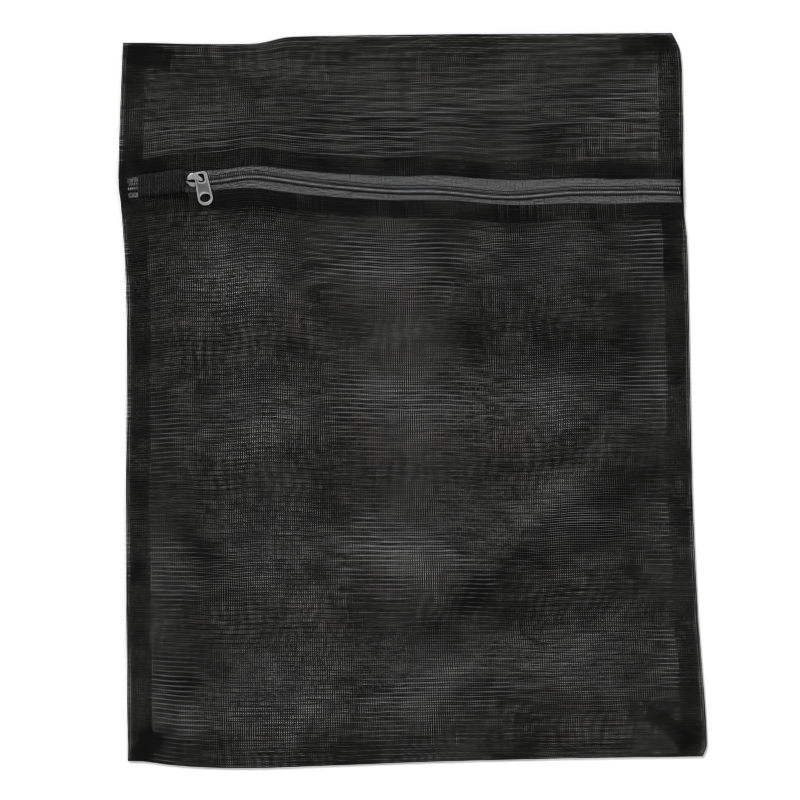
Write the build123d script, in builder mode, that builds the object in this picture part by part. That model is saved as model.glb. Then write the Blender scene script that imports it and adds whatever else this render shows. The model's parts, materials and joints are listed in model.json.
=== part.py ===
"""Mesh laundry bag with a coil zip across its front, lying empty and flat on its back.

Frame: +X runs along the zip towards its open end, +Y towards the top fold, +Z up.
The origin is at the centre of the bag's underside. All sizes are millimetres and degrees.
"""

import os
from math import atan2, cos, degrees, floor, radians, sin

from build123d import *

# Bag
bag_width = 302.0
bag_height = 388.0
corner_radius = 7.0
mesh_thickness = 0.4
inner_gap = 4.8  # hollow between the back and the front
edge_run = 8.0  # how far in from the outline the front reaches its full height

# Hems and side seams
hem_width = 9.0
allowance_width = 10.5
allowance_layers = 2
fold_length = 27.0  # ends of a seam allowance, turned over in the corners
fold_width = 9.5
corner_fold_inset = 17.0  # the slanting fold's centre, in from the right edge
corner_fold_rise = 14.5  # and up from the bottom edge
corner_fold_angle = 45.0
slant_fold_length = 24.0
short_fold_length = 15.0

# Zip
zip_drop = 78.7  # top fold to zip centre line, at the middle of the bag
zip_slant = -1.3  # the zip falls slightly towards +X
mouth_half_width = 6.3  # hem edge to zip centre line
tape_half_width = 12.5
tape_thickness = 0.5
row_gap = 1.0  # between the two rows of coil
coil_width = 1.8
coil_height = 1.1
cord_radius = 0.3  # filler cord inside each coil
cord_clearance = 0.05
coil_thread_width = 0.5
coil_thread_height = 0.15
tack_length = 1.4
tack_half_width = 3.2

# Stitching
stitch_pitch = 3.0
stitch_length = 2.3
thread_width = 0.4
thread_height = 0.25
hem_stitch_inset = 2.2  # stitch line in from the hem's edge
seam_stitch_inset = 2.0  # stitch line in from the allowance's outer edge

# Elastic garage over the closed end of the zip
garage_length = 24.6
garage_thickness = 0.6
garage_end_height = 1.8  # inside, at the end away from the slider
garage_mouth_length = 6.0  # stretch at full height
garage_side_gap = 0.1  # between the elastic and the hem's edge

# Slider
slider_length = 10.4
tail_radius = 1.0
flange_thickness = 0.7
nose_flare = 0.25  # how much wider the nose is than the tail, each side
plate_thickness = 0.7
floor_thickness = 0.75
slot_clearance = 0.25  # tape to slider, above and below
coil_side_clearance = 0.35
coil_top_clearance = 0.3
post_clearance = 0.2
post_length = 2.6
post_inset = 2.2  # nose to the post's centre
plate_edge_radius = 0.25
crown_width = 1.5
crown_thickness = 0.8
crown_foot = 1.3  # crown's foot at the nose, along the zip
leg_radius = 0.55  # round leg at the tail, which the pull tab turns on
crown_end_inset = 0.7  # nose or tail to the crown's end
crown_outer_radius = 1.4
crown_inner_radius = 0.6

# Pull tab
tab_thickness = 0.8
tab_head_width = 6.8
tab_head_radius = 2.2
tab_tail_radius = 4.0
tab_head_reach = 4.5  # crown's leg to the head end
tab_tail_reach = 13.7  # crown's leg to the tail end
tab_hole_radius = 2.4
tab_window_width = 3.4
tab_window_radius = 1.2
tab_rim = 0.9
tab_pocket_depth = 0.15
tab_seat_clearance = 0.2  # slider's top to the tab
tab_swing_clearance = 0.5  # tab to the crown above it
leg_clearance = 0.6  # crown's leg to the window, at its closest
tab_rest_angle = 9.0  # from square to the zip, towards its open end
garage_clearance = 0.3  # slider and tab to the elastic

# Where the slider stands when the zip is shut
slider_inset = 40.6  # left side of the bag to the slider's middle

# Heights, from the surface that the bag lies on
back_top = mesh_thickness
front_under = back_top + inner_gap
front_top = front_under + mesh_thickness
tape_top = front_under - mesh_thickness
tape_under = tape_top - tape_thickness
coil_top = tape_top + coil_height
floor_top = tape_under - slot_clearance
plate_under = coil_top + coil_top_clearance
plate_top = plate_under + plate_thickness
tab_under = plate_top + tab_seat_clearance
tab_top = tab_under + tab_thickness
crown_under = tab_top + tab_swing_clearance
crown_top = crown_under + crown_thickness
allowance_thickness = allowance_layers * mesh_thickness

# Sloping edge of the front
slope_angle = degrees(atan2(front_top - back_top, edge_run))
wall_run = mesh_thickness / sin(radians(slope_angle))
inner_run = edge_run * inner_gap / (front_top - back_top) + wall_run
fit_gap = 0.2  # between pieces that lie beside the slope and the slope itself
layer_inset = wall_run + edge_run * allowance_thickness / (front_top - back_top) + fit_gap
top_corner_radius = corner_radius / 2

# Zip's own frame: u along it, v across it towards the top fold
zip_y = bag_height / 2 - zip_drop
slant = radians(zip_slant)
along = Vector(cos(slant), sin(slant), 0)
across = Vector(-sin(slant), cos(slant), 0)
zip_half_length = bag_width / 2 - inner_run - 2 * fit_gap - (mouth_half_width + hem_width) * abs(sin(slant))
row_half_length = zip_half_length - tack_length
coil_middle = row_gap / 2 + coil_width / 2
slider_u = slider_inset - bag_width / 2
leg_u = slider_u + slider_length / 2 - crown_end_inset - leg_radius
garage_right_u = slider_u - slider_length / 2
garage_left_u = garage_right_u - garage_length


def zip_plane(height):
    """The zip's frame, level at a height: x is u and y is v."""
    return Plane(origin=(0, zip_y, height), x_dir=along, z_dir=(0, 0, 1))


def zip_section(u):
    """A plane square to the zip at u: x is v and y is the height."""
    return Plane(origin=Vector(0, zip_y, 0) + along * u, x_dir=across, z_dir=along)


def save(part, name):
    part.label = name
    export_step(part, f"parts/{name}.step")


def panel_outline(inset, radius, mode=Mode.ADD):
    RectangleRounded(bag_width - 2 * inset, bag_height - 2 * inset, radius, mode=mode)


def front_panel(side):
    """The front above (side 1) or below (side -1) the zip, with its sloping edges."""
    with BuildPart() as panel:
        with BuildSketch(Plane.XY.offset(back_top)):
            panel_outline(0, corner_radius)
        with BuildSketch(Plane.XY.offset(front_top)):
            panel_outline(edge_run, top_corner_radius)
        loft()
        with BuildSketch(Plane.XY.offset(back_top)):
            panel_outline(wall_run, corner_radius)
        with BuildSketch(Plane.XY.offset(front_under)):
            panel_outline(inner_run, top_corner_radius)
        loft(mode=Mode.SUBTRACT)
        with BuildSketch(zip_plane(back_top)):
            with Locations((0, -side * bag_height)):
                Rectangle(2 * bag_width, 2 * bag_height)
            Rectangle(2 * zip_half_length, 2 * mouth_half_width)
        extrude(amount=front_top, mode=Mode.SUBTRACT)
    return panel.part


def strip(side, inner, outer, bottom, top, half_length):
    """A flat strip along the zip, from inner to outer across it."""
    with BuildPart() as piece:
        with BuildSketch(zip_plane(bottom)):
            with Locations((0, side * (inner + outer) / 2)):
                Rectangle(2 * half_length, outer - inner)
        extrude(amount=top - bottom)
    return piece.part


def zip_coil(side):
    """A row of coil as the bar that its turns fill, with the hole for its filler cord."""
    with BuildPart() as coil:
        with BuildSketch(zip_section(-row_half_length)):
            with Locations((side * coil_middle, tape_top + coil_height / 2)):
                RectangleRounded(coil_width, coil_height, coil_height / 3)
                Circle(cord_radius + cord_clearance, mode=Mode.SUBTRACT)
        extrude(amount=2 * row_half_length)
    return coil.part


def coil_cord(side):
    with BuildPart() as cord:
        with BuildSketch(zip_section(-row_half_length)):
            with Locations((side * coil_middle, tape_top + coil_height / 2)):
                Circle(cord_radius)
        extrude(amount=2 * row_half_length)
    return cord.part


def hem_stitching(side):
    """One row of stitches along a hem, each stitch a solid of its own."""
    count = floor(2 * row_half_length / stitch_pitch)
    with BuildPart() as row:
        with BuildSketch(zip_plane(front_top)):
            with Locations((0, side * (mouth_half_width + hem_stitch_inset))):
                with GridLocations(stitch_pitch, 0, count, 1):
                    Rectangle(stitch_length, thread_width)
        extrude(amount=thread_height)
    return row.part


def seam_stitching(side):
    """The stitches down a side seam, on the turned-in allowance."""
    count = floor((bag_height - 2 * corner_radius) / stitch_pitch)
    with BuildPart() as row:
        with BuildSketch(Plane.XY.offset(back_top + allowance_thickness)):
            with Locations((side * (bag_width / 2 - layer_inset - seam_stitch_inset), 0)):
                with GridLocations(0, stitch_pitch, 1, count):
                    Rectangle(thread_width, stitch_length)
        extrude(amount=thread_height)
    return row.part


def allowance_strip(side):
    with Locations((side * (bag_width / 2 - layer_inset - allowance_width / 2), 0)):
        Rectangle(allowance_width, bag_height - 2 * layer_inset)


def zip_tack(side):
    """Stitches worked over an end of the zip, where the side seam catches it."""
    with BuildPart() as tack:
        with BuildSketch(zip_plane(tape_top)):
            with Locations((side * (row_half_length + tack_length / 2), 0)):
                Rectangle(tack_length, 2 * tack_half_width)
        extrude(amount=coil_height)
    return tack.part


def arch_face(half_width, height):
    """A half ellipse standing on the tape."""
    with Locations((0, tape_top)):
        Ellipse(half_width, height)
        Rectangle(2 * half_width, height, align=(Align.CENTER, Align.MAX), mode=Mode.SUBTRACT)


os.makedirs("parts", exist_ok=True)

# Mesh panels
with BuildPart() as back_panel:
    with BuildSketch(Plane.XY):
        panel_outline(0, corner_radius)
    extrude(amount=mesh_thickness)
save(back_panel.part, "back_panel")
save(front_panel(1), "front_upper_panel")
save(front_panel(-1), "front_lower_panel")

# Turned-in seam allowances, each with its two ends folded over in the corners
left_edge = layer_inset - bag_width / 2
right_edge = -left_edge
top_edge = bag_height / 2 - layer_inset

with BuildPart() as left_seam_allowance:
    with BuildSketch(Plane.XY.offset(back_top)):
        allowance_strip(-1)
        with Locations((left_edge + fold_length / 2, top_edge - fold_width / 2)):
            Rectangle(fold_length, fold_width)
        with Locations((left_edge + short_fold_length / 2, fold_width / 2 - top_edge)):
            Rectangle(short_fold_length, fold_width)
        panel_outline(layer_inset, corner_radius, Mode.INTERSECT)
    extrude(amount=allowance_thickness)
save(left_seam_allowance.part, "left_seam_allowance")

with BuildPart() as right_seam_allowance:
    with BuildSketch(Plane.XY.offset(back_top)):
        allowance_strip(1)
        with Locations((right_edge - fold_length / 2, top_edge - fold_width / 2)):
            Rectangle(fold_length, fold_width)
        with Locations((bag_width / 2 - corner_fold_inset, corner_fold_rise - bag_height / 2)):
            Rectangle(slant_fold_length, fold_width, rotation=-corner_fold_angle)
        panel_outline(layer_inset, corner_radius, Mode.INTERSECT)
    extrude(amount=allowance_thickness)
save(right_seam_allowance.part, "right_seam_allowance")

# Pieces that the bag has on both sides of the zip, and at both sides of the bag
hem_outer = mouth_half_width + hem_width
for side, name in ((1, "upper"), (-1, "lower")):
    save(strip(side, mouth_half_width, hem_outer, tape_top, front_under, zip_half_length), f"{name}_hem")
    save(strip(side, row_gap / 2, tape_half_width, tape_under, tape_top, zip_half_length), f"{name}_zip_tape")
    save(zip_coil(side), f"{name}_zip_coil")
    save(coil_cord(side), f"{name}_coil_cord")
    thread_inner = coil_middle - coil_thread_width / 2
    thread_outer = coil_middle + coil_thread_width / 2
    thread_top = coil_top + coil_thread_height
    save(strip(side, thread_inner, thread_outer, coil_top, thread_top, row_half_length), f"{name}_coil_thread")
    save(hem_stitching(side), f"{name}_hem_stitching")
for side, name in ((-1, "left"), (1, "right")):
    save(seam_stitching(side), f"{name}_seam_stitching")
    save(zip_tack(side), f"{name}_zip_tack")

# Elastic garage: a hood over the zip, highest at the mouth that takes the slider's nose
garage_half_width = mouth_half_width - garage_side_gap
mouth_height = crown_top + garage_clearance - tape_top
mouth_end_u = garage_right_u - garage_mouth_length
with BuildPart() as elastic_garage:
    for wall, mode in ((0, Mode.ADD), (garage_thickness, Mode.SUBTRACT)):
        half_width = garage_half_width - wall
        full_height = mouth_height + garage_thickness - wall
        end_height = garage_end_height + garage_thickness - wall
        with BuildSketch(zip_section(mouth_end_u)):
            arch_face(half_width, full_height)
        extrude(amount=garage_mouth_length, mode=mode)
        with BuildSketch(zip_section(mouth_end_u)):
            arch_face(half_width, full_height)
        with BuildSketch(zip_section(garage_left_u)):
            arch_face(half_width, end_height)
        loft(mode=mode)
save(elastic_garage.part, "elastic_garage")

# Slider: two plates joined by a post between the coils, flanges, and the crown that holds the tab
channel_half_width = row_gap / 2 + coil_width + coil_side_clearance
tail_half_width = channel_half_width + flange_thickness
nose_radius = tail_half_width + nose_flare
nose_u = slider_u - slider_length / 2
tail_u = slider_u + slider_length / 2


def tapered_outline(round_at, round_radius, square_at, square_half_width, corner, turn):
    """A round end and a square one with rounded corners, along the plane's X (turn 0) or Y (turn 90)."""
    profile = Polygon(
        (round_at, round_radius),
        (round_at, -round_radius),
        (square_at, -square_half_width),
        (square_at, square_half_width),
        align=None,
        mode=Mode.PRIVATE,
    )
    square_corners = profile.vertices().sort_by(Axis.X, reverse=square_at > round_at)[:2]
    profile = fillet(square_corners, corner) + Pos(round_at, 0) * Circle(round_radius, mode=Mode.PRIVATE)
    return Rot(0, 0, turn) * profile


slider_shape = tapered_outline(nose_u + nose_radius, nose_radius, tail_u, tail_half_width, tail_radius, 0)
crown_plane = Plane(origin=(0, zip_y, plate_top), x_dir=along, z_dir=-across)
crown_left = nose_u + crown_end_inset
crown_right = tail_u - crown_end_inset
with BuildPart() as zip_slider:
    with BuildSketch(zip_plane(floor_top - floor_thickness)):
        add(slider_shape)
    extrude(amount=floor_thickness)
    fillet(zip_slider.faces().sort_by(Axis.Z)[0].edges(), plate_edge_radius)
    with BuildSketch(zip_plane(plate_under)):
        add(slider_shape)
    extrude(amount=plate_thickness)
    fillet(zip_slider.faces().sort_by(Axis.Z)[-1].edges(), plate_edge_radius)
    with BuildSketch(zip_plane(tape_top + slot_clearance)):
        add(slider_shape)
        with Locations((slider_u, 0)):
            Rectangle(2 * slider_length, 2 * channel_half_width, mode=Mode.SUBTRACT)
    extrude(amount=plate_under - tape_top - slot_clearance)
    with BuildSketch(zip_plane(floor_top)):
        with Locations((nose_u + post_inset, 0)):
            Ellipse(post_length / 2, row_gap / 2 - post_clearance)
    extrude(amount=plate_under - floor_top)
    with BuildSketch(crown_plane) as crown_outside:
        with Locations(((crown_left + crown_right) / 2, (crown_top - plate_top) / 2)):
            Rectangle(crown_right - crown_left, crown_top - plate_top)
        fillet(crown_outside.vertices().group_by(Axis.Y)[-1], crown_outer_radius)
    extrude(amount=crown_width / 2, both=True)
    with BuildSketch(crown_plane) as crown_inside:
        with Locations(((crown_left + crown_foot + tail_u) / 2, (crown_under - plate_top) / 2)):
            Rectangle(tail_u - crown_left - crown_foot, crown_under - plate_top)
        fillet(crown_inside.vertices().group_by(Axis.Y)[-1].sort_by(Axis.X)[0], crown_inner_radius)
    extrude(amount=crown_width / 2, both=True, mode=Mode.SUBTRACT)
    with BuildSketch(zip_plane(plate_top)):
        with Locations((leg_u, 0)):
            Circle(leg_radius)
    extrude(amount=crown_under - plate_top)
save(zip_slider.part, "zip_slider")

# Pull tab: a rimmed plate threaded on the crown's leg, in a frame with +Y from the leg to its tail end
tab_turn = slant + radians(tab_rest_angle)
leg_point = Vector(0, zip_y, 0) + along * leg_u
tab_side = Vector(-cos(tab_turn), -sin(tab_turn), 0)


def tab_plane(height):
    return Plane(origin=leg_point + Vector(0, 0, height), x_dir=tab_side, z_dir=(0, 0, 1))


tab_tail = tab_tail_reach - tab_tail_radius
tab_shape = tapered_outline(tab_tail, tab_tail_radius, -tab_head_reach, tab_head_width / 2, tab_head_radius, 90)
window_low = tab_rim - tab_head_reach
window_high = leg_radius + leg_clearance
tab_hole_place = (0, tab_tail)
window_place = (0, (window_low + window_high) / 2)
with BuildPart() as pull_tab:
    with BuildSketch(tab_plane(tab_under)):
        add(tab_shape)
        with Locations(tab_hole_place):
            Circle(tab_hole_radius, mode=Mode.SUBTRACT)
        with Locations(window_place):
            RectangleRounded(
                tab_window_width, window_high - window_low, tab_window_radius, mode=Mode.SUBTRACT
            )
    extrude(amount=tab_thickness)
    with BuildSketch(tab_plane(tab_top)):
        add(tab_shape)
        offset(amount=-tab_rim)
        with Locations(tab_hole_place):
            Circle(tab_hole_radius + tab_rim, mode=Mode.SUBTRACT)
        with Locations(window_place):
            RectangleRounded(
                tab_window_width + 2 * tab_rim,
                window_high - window_low + 2 * tab_rim,
                tab_window_radius + tab_rim,
                mode=Mode.SUBTRACT,
            )
    extrude(amount=-tab_pocket_depth, mode=Mode.SUBTRACT)
save(pull_tab.part, "pull_tab")
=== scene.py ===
"""Mesh laundry bag: the net, zip, elastic and stitching that show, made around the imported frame.

Each piece is first laid out straight, as it is sewn: x along the zip, y towards the top fold.
lie() then moves every point to where the empty bag lies, pulled a little out of square and with
a soft wave along the zip. All sizes are metres.
"""

import json
import math

import bmesh
import bpy
from mathutils import Matrix, Vector, noise


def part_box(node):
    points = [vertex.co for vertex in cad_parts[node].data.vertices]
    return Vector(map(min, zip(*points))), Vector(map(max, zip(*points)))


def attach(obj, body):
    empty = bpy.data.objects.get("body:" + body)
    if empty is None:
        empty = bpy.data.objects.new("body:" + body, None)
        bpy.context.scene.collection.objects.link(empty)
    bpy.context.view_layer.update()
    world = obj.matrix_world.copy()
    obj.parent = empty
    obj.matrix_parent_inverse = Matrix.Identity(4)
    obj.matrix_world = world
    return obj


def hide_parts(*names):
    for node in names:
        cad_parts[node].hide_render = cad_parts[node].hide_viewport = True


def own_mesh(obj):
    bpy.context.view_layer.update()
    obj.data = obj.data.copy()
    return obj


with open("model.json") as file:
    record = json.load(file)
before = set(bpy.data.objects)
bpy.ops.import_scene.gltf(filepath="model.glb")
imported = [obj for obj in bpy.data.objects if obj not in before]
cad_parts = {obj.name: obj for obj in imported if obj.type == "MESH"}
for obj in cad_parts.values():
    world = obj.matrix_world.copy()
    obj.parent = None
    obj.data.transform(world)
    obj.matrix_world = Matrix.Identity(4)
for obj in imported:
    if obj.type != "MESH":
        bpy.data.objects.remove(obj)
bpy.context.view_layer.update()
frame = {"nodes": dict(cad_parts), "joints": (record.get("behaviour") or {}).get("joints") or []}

bl_info = {
    "name": "Mesh laundry bag",
    "version": (1, 0, 0),
    "blender": (4, 5, 0),
    "location": "View3D > Sidebar > Laundry bag",
    "description": "Makes the net, zip, elastic and stitching of a flat mesh laundry bag",
    "category": "Add Mesh",
}

MM = 0.001
COIL_UNIT = 1.0 * MM
COIL_STEPS = 10


# Sizes that come from the frame


def joint_row(name):
    """A joint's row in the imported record."""
    for row in frame["joints"]:
        if row["name"] == name:
            return row
    raise RuntimeError(f"the frame has no joint {name}")


slider_low, slider_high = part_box("zip_slider")
hood_low, hood_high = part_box("elastic_garage")
HALF_WIDTH, HALF_HEIGHT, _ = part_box("back_panel")[1]
TAPE_UNDER, TAPE_TOP = (corner.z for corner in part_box("upper_zip_tape"))
COIL_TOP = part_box("upper_zip_coil")[1].z
FRONT_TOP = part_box("front_lower_panel")[1].z
ZIP_DIRECTION = Vector(joint_row("slider_slide")["axis"])
SWIVEL = Vector(joint_row("pull_swivel")["pos_m"])
ZIP_SLOPE = ZIP_DIRECTION.y / ZIP_DIRECTION.x
SLIDER_X = (slider_low.x + slider_high.x) / 2

# The coil runs on into the side seams, which tack its ends down
COIL_START = -HALF_WIDTH + 4.6 * MM
COIL_END = HALF_WIDTH - 1.5 * MM


# How the empty bag lies


def in_metres(*points):
    """Listed points in millimetres, as metres."""
    return [(a * MM, b * MM) for a, b in points]


# Side edges as (height up the bag, place across it), folds and zip as (place across, height)
LEFT_EDGE = in_metres(
    (-192.3, -146.1), (-74.6, -147.1), (37.7, -146.6), (75.2, -147.7),
    (107.3, -150.0), (113.7, -151.0), (126.0, -151.0), (150.1, -150.3), (191.3, -148.7),
)
RIGHT_EDGE = in_metres(
    (-190.2, 161.6), (-183.8, 163.7), (-106.7, 158.4), (-42.5, 155.7), (37.7, 154.1),
    (85.9, 153.0), (101.9, 151.4), (159.2, 150.6), (187.0, 149.3), (196.6, 145.0),
)
TOP_FOLD = in_metres((-148.7, 191.3), (-80.8, 190.9), (-59.4, 194.6), (145.0, 196.6))
BOTTOM_FOLD = in_metres(
    (-146.0, -192.9), (-124.7, -195.5), (-91.0, -196.6), (-54.0, -195.5),
    (0.0, -193.4), (39.0, -192.3), (85.0, -191.3), (161.6, -190.2),
)
ZIP_WAVE = in_metres(
    (-151.0, -5.2), (-140.6, -4.2), (-131.0, -2.1), (-122.0, -0.2), (-116.0, 0.0), (-101.0, 0.1),
    (-79.4, 3.3), (-63.4, 1.9), (-44.0, -0.3), (-5.0, -2.8), (20.0, -2.5),
    (57.0, -4.6), (93.0, -1.3), (118.0, -0.6), (130.0, 0.0), (151.0, 0.0),
)
UPPER_LIP = in_metres(
    (-151.0, 5.6), (-140.6, 5.6), (-131.0, 4.9), (-122.0, 4.4), (-115.5, 4.75),
    (-103.7, 5.75), (-88.0, 5.3), (-70.0, 5.6),
    (0.0, 7.7), (55.0, 8.8), (88.0, 7.4), (128.0, 6.5), (151.0, 6.5),
)
LOWER_LIP = in_metres(
    (-151.0, 5.7), (-140.6, 5.7), (-131.0, 6.4), (-122.0, 6.9), (-115.0, 6.9),
    (-101.0, 5.6), (-88.0, 6.3), (-75.0, 7.2), (-50.0, 6.9),
    (0.0, 5.7), (42.0, 4.8), (64.0, 5.3), (106.0, 7.0), (151.0, 6.2),
)


def curve_through(points, at):
    """The value at one place on a smooth curve through given points."""
    if at <= points[0][0]:
        return points[0][1]
    if at >= points[-1][0]:
        return points[-1][1]
    index = 0
    while at > points[index + 1][0]:
        index += 1
    before = points[max(index - 1, 0)]
    start = points[index]
    end = points[index + 1]
    after = points[min(index + 2, len(points) - 1)]
    span = end[0] - start[0]
    slope_in = (end[1] - before[1]) / (end[0] - before[0]) * span
    slope_out = (after[1] - start[1]) / (after[0] - start[0]) * span
    t = (at - start[0]) / span
    rise = t * t * (3 - 2 * t)
    return (
        start[1] * (1 - rise)
        + end[1] * rise
        + slope_in * t * (1 - t) * (1 - t)
        - slope_out * t * t * (1 - t)
    )


def smooth(value):
    """0 below 0, 1 above 1 and a soft rise between."""
    value = min(max(value, 0.0), 1.0)
    return value * value * (3 - 2 * value)


def mix(a, b, share):
    """Between a and b."""
    return a + (b - a) * share


def zip_line(x):
    """The zip's centre line as sewn."""
    return SWIVEL.y + (x - SWIVEL.x) * ZIP_SLOPE


def chain_line(x):
    """The zip's centre line as it lies."""
    return zip_line(x) + curve_through(ZIP_WAVE, x)


def across_at(x, lying_y):
    """Where a sewn x lies at one height up the lying bag, between its side edges."""
    across = (x + HALF_WIDTH) / (2 * HALF_WIDTH)
    return mix(curve_through(LEFT_EDGE, lying_y), curve_through(RIGHT_EDGE, lying_y), across)


def lie(x, y):
    """Where a sewn point of the cloth lies, seen from above."""
    settings = bpy.context.scene.laundry_bag_sizes
    lip = settings.mouth
    band = settings.flat_band
    off = y - zip_line(x)
    side = 1 if off > 0 else -1
    edge = curve_through(UPPER_LIP if off > 0 else LOWER_LIP, x)
    ease = 1 - smooth((abs(off) - lip) / (3 * band))
    off += side * (edge - lip) * ease
    chain = chain_line(x)
    if abs(off) <= band:
        lying_y = chain + off
    else:
        fold = curve_through(TOP_FOLD if side > 0 else BOTTOM_FOLD, x * 1.02)
        sewn_reach = side * HALF_HEIGHT - zip_line(x) - side * band
        share = (off - side * band) / sewn_reach
        lying_y = mix(chain + side * band, fold, share)
    return across_at(x, lying_y), lying_y


def lie_on_zip(x, off):
    """Where a sewn point of the zip lies: off is its distance from the centre line."""
    return x, chain_line(x) + off


def front_level(x, y):
    """Height of the front's cloth, without folds: low at the seams and full in the middle."""
    settings = bpy.context.scene.laundry_bag_sizes
    side = HALF_WIDTH - abs(x)
    end = HALF_HEIGHT - abs(y)
    away = smooth((abs(y - zip_line(x)) - 15 * MM) / (50 * MM))
    side_run = mix(settings.edge_run, settings.panel_run, away)
    rise = smooth(side / side_run) * smooth(end / settings.panel_run)
    roll = 1 - math.exp(-max(min(side, end), 0.0) / (0.9 * MM))
    low = settings.seam_level + 0.7 * MM * roll
    return mix(low, FRONT_TOP - 0.2 * MM, rise)


# Folds that the cloth has kept: points as it lies, then the fold's height and half width
FOLDS = (
    (((147, -24), (120, -30), (85, -53), (50, -88), (21, -108)), 2.6, 9.0),
    (((128, -12), (104, -30), (78, -55)), 1.4, 6.0),
    (((-136, 3), (-118, 17), (-100, 22), (-54, 14), (-20, 24), (16, 38), (40, 44)), 1.7, 8.0),
    (((-138, -50), (-112, -64), (-92, -86), (-86, -110)), 1.9, 8.0),
    (((-40, -78), (-12, -88), (22, -101)), 1.8, 7.0),
    (((-36, -96), (-46, -125), (-40, -158)), 1.3, 10.0),
    (((-112, 62), (-88, 66), (-58, 61)), 1.2, 6.0),
    (((-120, 36), (-100, 41), (-82, 38)), 1.1, 5.0),
    (((-64, 40), (-48, 37), (-30, 31)), 1.1, 5.0),
    (((-76, -14), (-62, -22), (-48, -14)), 1.3, 7.0),
    (((-70, -38), (-58, -44), (-44, -40)), 1.2, 6.0),
    (((46, -14), (62, -6), (78, -18), (90, -34)), 1.4, 9.0),
    (((42, 92), (52, 64), (58, 44)), 0.9, 5.0),
    (((128, 80), (112, 50), (108, 10)), 1.2, 9.0),
    (((-134, 160), (-100, 152), (-66, 142), (-40, 148)), 1.4, 7.0),
    (((-96, 178), (-60, 170), (-22, 161), (-2, 156)), 1.3, 6.0),
    (((-52, 136), (-20, 150), (26, 158), (66, 152), (104, 140)), 1.3, 7.0),
    (((40, 172), (66, 166), (104, 168)), 1.0, 5.0),
    (((96, -150), (60, -140), (30, -150), (-6, -146)), 1.2, 9.0),
    (((142, -96), (120, -118), (92, -132)), 1.3, 8.0),
)


# Painted light and shade on the two nets, as patches, light above 0 and shade below: place as it
# lies, half length, half width, turn, strength
PAINTED_SHADING = (
    (-81, 61, 24, 5, 0, 0.6), (-99, 39, 19, 4, 0, 0.5), (-46, 34, 12, 5, -20, 0.5),
    (-49, 6, 15, 4, 0, 0.45), (-63, -18, 10, 6, 0, 0.7), (-58, -46, 9, 7, 0, 0.6),
    (-9, -61, 11, 6, 0, 0.5), (-11, -84, 28, 5, -17, 0.8), (-38, -128, 8, 26, 0, 0.6),
    (58, -21, 14, 9, 0, 0.7), (48, -50, 14, 5, 0, 0.4), (-43, 177, 28, 4, -6, 0.6),
    (53, 161, 22, 5, 0, 0.5), (-100, 150, 16, 10, 30, 0.4), (136, 161, 8, 11, 0, 0.4),
    (-94, -128, 12, 8, 0, 0.35), (74, -128, 14, 10, 0, 0.35), (10, -20, 40, 60, 0, 0.2),
    (128, -12, 14, 5, 20, 0.4), (-120, 24, 16, 4, 35, 0.3), (118, -178, 30, 6, 0, 0.3),
    (106, 22, 32, 15, -15, -0.6), (101, -69, 36, 16, 38, -0.6), (32, -107, 20, 9, 40, -0.5),
    (-99, -91, 20, 9, -58, -0.6), (-118, -155, 14, 10, 0, -0.5), (85, -160, 30, 9, -10, -0.4),
    (-60, 104, 32, 4, 0, -0.5), (53, 99, 18, 4, 0, -0.4), (85, 144, 26, 7, -15, -0.4),
    (-54, 144, 34, 5, 8, -0.4), (-73, -62, 11, 7, 0, -0.4), (40, 30, 8, 14, 0, -0.35),
    (128, 70, 20, 24, 0, -0.25), (-120, -20, 12, 26, 0, -0.2),
    (-62, -122, 44, 24, 0, 0.32), (-62, -166, 50, 12, 0, 0.2), (-76, -46, 30, 34, 0, 0.2),
    (60, -140, 30, 12, 0, 0.2), (-20, 150, 90, 16, 0, -0.2), (4, 78, 60, 14, 0, -0.3),
    (10, 30, 24, 16, 0, 0.35), (122, -150, 14, 30, 0, 0.2),
)


# Folded ends of the seam allowances, in millimetres as sewn: side, distance in from it, height
# up the bag, length, width, turn
FOLDED_ENDS = (
    (-1, 15.0, 187.0, 24.0, 12.0, -14.0),
    (1, 17.5, 187.5, 27.0, 9.5, 0.0),
    (-1, 10.5, -185.0, 17.0, 10.5, 55.0),
    (1, 17.0, -179.5, 24.0, 9.5, -45.0),
)


def over_folded_end(x, y):
    """1 over a folded end of a seam allowance, 0 beside it, with a narrow edge between."""
    most = 0.0
    for side, inset, height, length, width, turn in FOLDED_ENDS:
        away = Vector((x - side * (HALF_WIDTH - inset * MM), y - height * MM, 0.0))
        spot = Matrix.Rotation(-math.radians(turn), 3, "Z") @ away
        within = min(length * MM / 2 - abs(spot.x), width * MM / 2 - abs(spot.y))
        most = max(most, smooth(within / MM + 0.5))
    return most


def painted_shading_at(x, y):
    """How much painted light, or below 0 how much painted shade, the nets get at a lying point in
    millimetres.
    """
    total = 0.0
    for middle_x, middle_y, half_length, half_width, turn, strength in PAINTED_SHADING:
        away_x = x - middle_x
        away_y = y - middle_y
        if abs(away_x) + abs(away_y) > 2.5 * (half_length + half_width):
            continue
        cosine = math.cos(math.radians(turn))
        sine = math.sin(math.radians(turn))
        along = (away_x * cosine + away_y * sine) / half_length
        off = (away_y * cosine - away_x * sine) / half_width
        total += strength * math.exp(-(along * along + off * off))
    return total


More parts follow.
